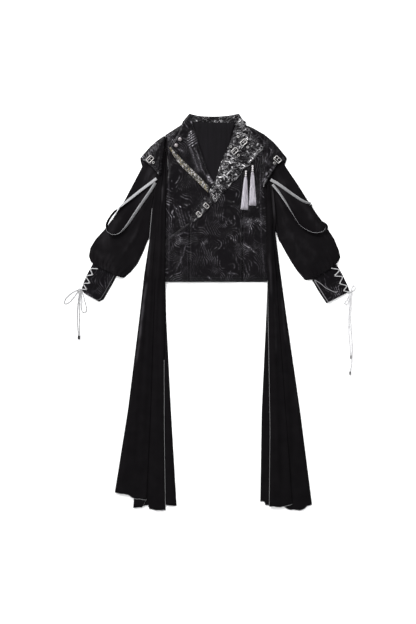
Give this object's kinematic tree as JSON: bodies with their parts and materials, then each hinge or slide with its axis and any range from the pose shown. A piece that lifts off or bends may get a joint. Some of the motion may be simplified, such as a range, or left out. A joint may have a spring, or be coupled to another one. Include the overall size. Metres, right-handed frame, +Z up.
{
  "type": "hanfu set",
  "caption": "Cropped cross-over hanfu top laid flat, with buckled lapels, shoulder caps, laced bishop sleeves, ribbon loops, tassels and long pleated streamers.",
  "frame": {"origin": "centre of the underside of the bounding box without the laces: on the table, on the garment's centre line, halfway between the collar tips and the streamer hems", "axes": "+X towards the wearer's left, +Y from the hems towards the collar, +Z up from the table, out of the garment's front"},
  "size_m": [1.0194, 1.388, 0.0156],
  "materials": {
    "jacquard": "glossy black jacquard with an embossed water-ripple pattern",
    "foil": "black cloth with crinkled silver foil",
    "crepe": "matt black crepe with fine serged hems",
    "lining": "plain black lining",
    "brocade": "flecked antique-gold and grey brocade",
    "tape": "white and silver braided tape with a black back",
    "silk": "pale lilac-silver tassel thread",
    "pearl": "pearl lustre",
    "metal": "polished nickel",
    "cord": "white round lace",
    "aglet": "dark gloss tips"
  },
  "bodies": {
    "root": {"aglet_long_left": "aglet", "aglet_long_right": "aglet", "aglet_short_left": "aglet", "aglet_short_right": "aglet", "back": "jacquard", "back_lining": "lining", "band_buckle_lower": "metal", "band_buckle_upper": "metal", "brocade_strip": "brocade", "cap_buckle_left": "metal", "cap_buckle_right": "metal", "cap_left": "jacquard", "cap_right": "jacquard", "cap_strap_left": "foil", "cap_strap_right": "foil", "closure_band": "foil", "cuff_left": "jacquard", "cuff_right": "jacquard", "front_left": "jacquard", "front_left_side": "jacquard", "front_left_wrap": "jacquard", "front_right": "jacquard", "lace_end_long_left": "cord", "lace_end_long_right": "cord", "lace_end_short_left": "cord", "lace_end_short_right": "cord", "lace_knot_left": "cord", "lace_knot_right": "cord", "lace_loop_inner_left": "cord", "lace_loop_inner_right": "cord", "lace_loop_outer_left": "cord", "lace_loop_outer_right": "cord", "lacing_left": "cord", "lacing_right": "cord", "lapel_buckle_lower": "metal", "lapel_buckle_upper": "metal", "lapel_left": "foil", "lapel_right": "jacquard", "lapel_strap_lower": "foil", "lapel_strap_upper": "foil", "neck_band": "foil", "pearl_button_lower": "pearl", "pearl_button_upper": "pearl", "ribbon_loop_left": "tape", "ribbon_loop_right": "tape", "sleeve_left": "crepe", "sleeve_right": "crepe", "streamer_left": "crepe", "streamer_right": "crepe", "tassel_beads_inner": "pearl", "tassel_beads_outer": "pearl", "tassel_skirt_inner": "silk", "tassel_skirt_outer": "silk"}
  },
  "joints": []
}
